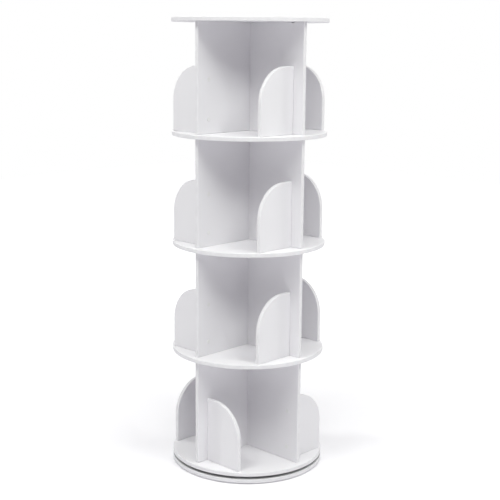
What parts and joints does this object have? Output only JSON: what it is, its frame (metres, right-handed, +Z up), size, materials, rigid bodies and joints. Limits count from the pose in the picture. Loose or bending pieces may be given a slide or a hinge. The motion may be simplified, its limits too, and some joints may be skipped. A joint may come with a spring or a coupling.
{
  "type": "revolving bookcase",
  "caption": "Floor-standing round bookcase: stacked shelves with crossed dividers and arched book stops, turning on a ball bearing over a fixed round base.",
  "frame": {"origin": "centre of the foot pads' contact with the floor, on the turning axis", "axes": "+Z up along the turning axis; the crossed dividers lie along X and Y"},
  "size_m": [0.4499, 0.45, 1.315],
  "materials": {
    "white_board": "smooth satin white paint on fibreboard",
    "cap_plastic": "matt white moulded",
    "foam_pad": "matt closed-cell foam",
    "bearing_aluminium": "turned",
    "ball_steel": "polished",
    "cage_plastic": "moulded nylon",
    "screw_steel": "zinc plated",
    "dowel_wood": "bare beech"
  },
  "bodies": {
    "base": {"base_board": "white_board", "foot_pads": "foam_pad", "bearing_outer_ring": "bearing_aluminium", "outer_ring_screws": "screw_steel"},
    "ball_ring": {"bearing_balls": "ball_steel", "ball_cage": "cage_plastic"},
    "tower": {"bearing_inner_ring": "bearing_aluminium", "inner_ring_screws": "screw_steel", "rotating_bottom_board": "white_board", "shelf_board_2": "white_board", "shelf_board_3": "white_board", "shelf_board_4": "white_board", "top_board": "white_board", "tier_1_divider_slot_up": "white_board", "tier_1_divider_slot_down": "white_board", "tier_2_divider_slot_up": "white_board", "tier_2_divider_slot_down": "white_board", "tier_3_divider_slot_up": "white_board", "tier_3_divider_slot_down": "white_board", "tier_4_divider_slot_up": "white_board", "tier_4_divider_slot_down": "white_board", "tier_1_book_stop_1": "white_board", "tier_1_book_stop_2": "white_board", "tier_1_book_stop_3": "white_board", "tier_1_book_stop_4": "white_board", "tier_2_book_stop_1": "white_board", "tier_2_book_stop_2": "white_board", "tier_2_book_stop_3": "white_board", "tier_2_book_stop_4": "white_board", "tier_3_book_stop_1": "white_board", "tier_3_book_stop_2": "white_board", "tier_3_book_stop_3": "white_board", "tier_3_book_stop_4": "white_board", "tier_4_book_stop_1": "white_board", "tier_4_book_stop_2": "white_board", "tier_4_book_stop_3": "white_board", "tier_4_book_stop_4": "white_board", "shelf_screws": "screw_steel", "stop_side_screws": "screw_steel", "stop_foot_screws": "screw_steel", "dowels": "dowel_wood", "screw_caps": "cap_plastic"}
  },
  "joints": [
    {"name": "tower_swivel", "type": "hinge", "parent": "base", "child": "tower", "pos_m": [0, 0, 0.019], "axis": [0, 0, 1], "continuous": true},
    {"name": "ball_ring_roll", "type": "hinge", "parent": "base", "child": "ball_ring", "pos_m": [0, 0, 0.019], "axis": [0, 0, 1], "continuous": true}
  ],
  "couplings": [
    {"joint": "ball_ring_roll", "follows": "tower_swivel", "ratio": 0.492}
  ]
}
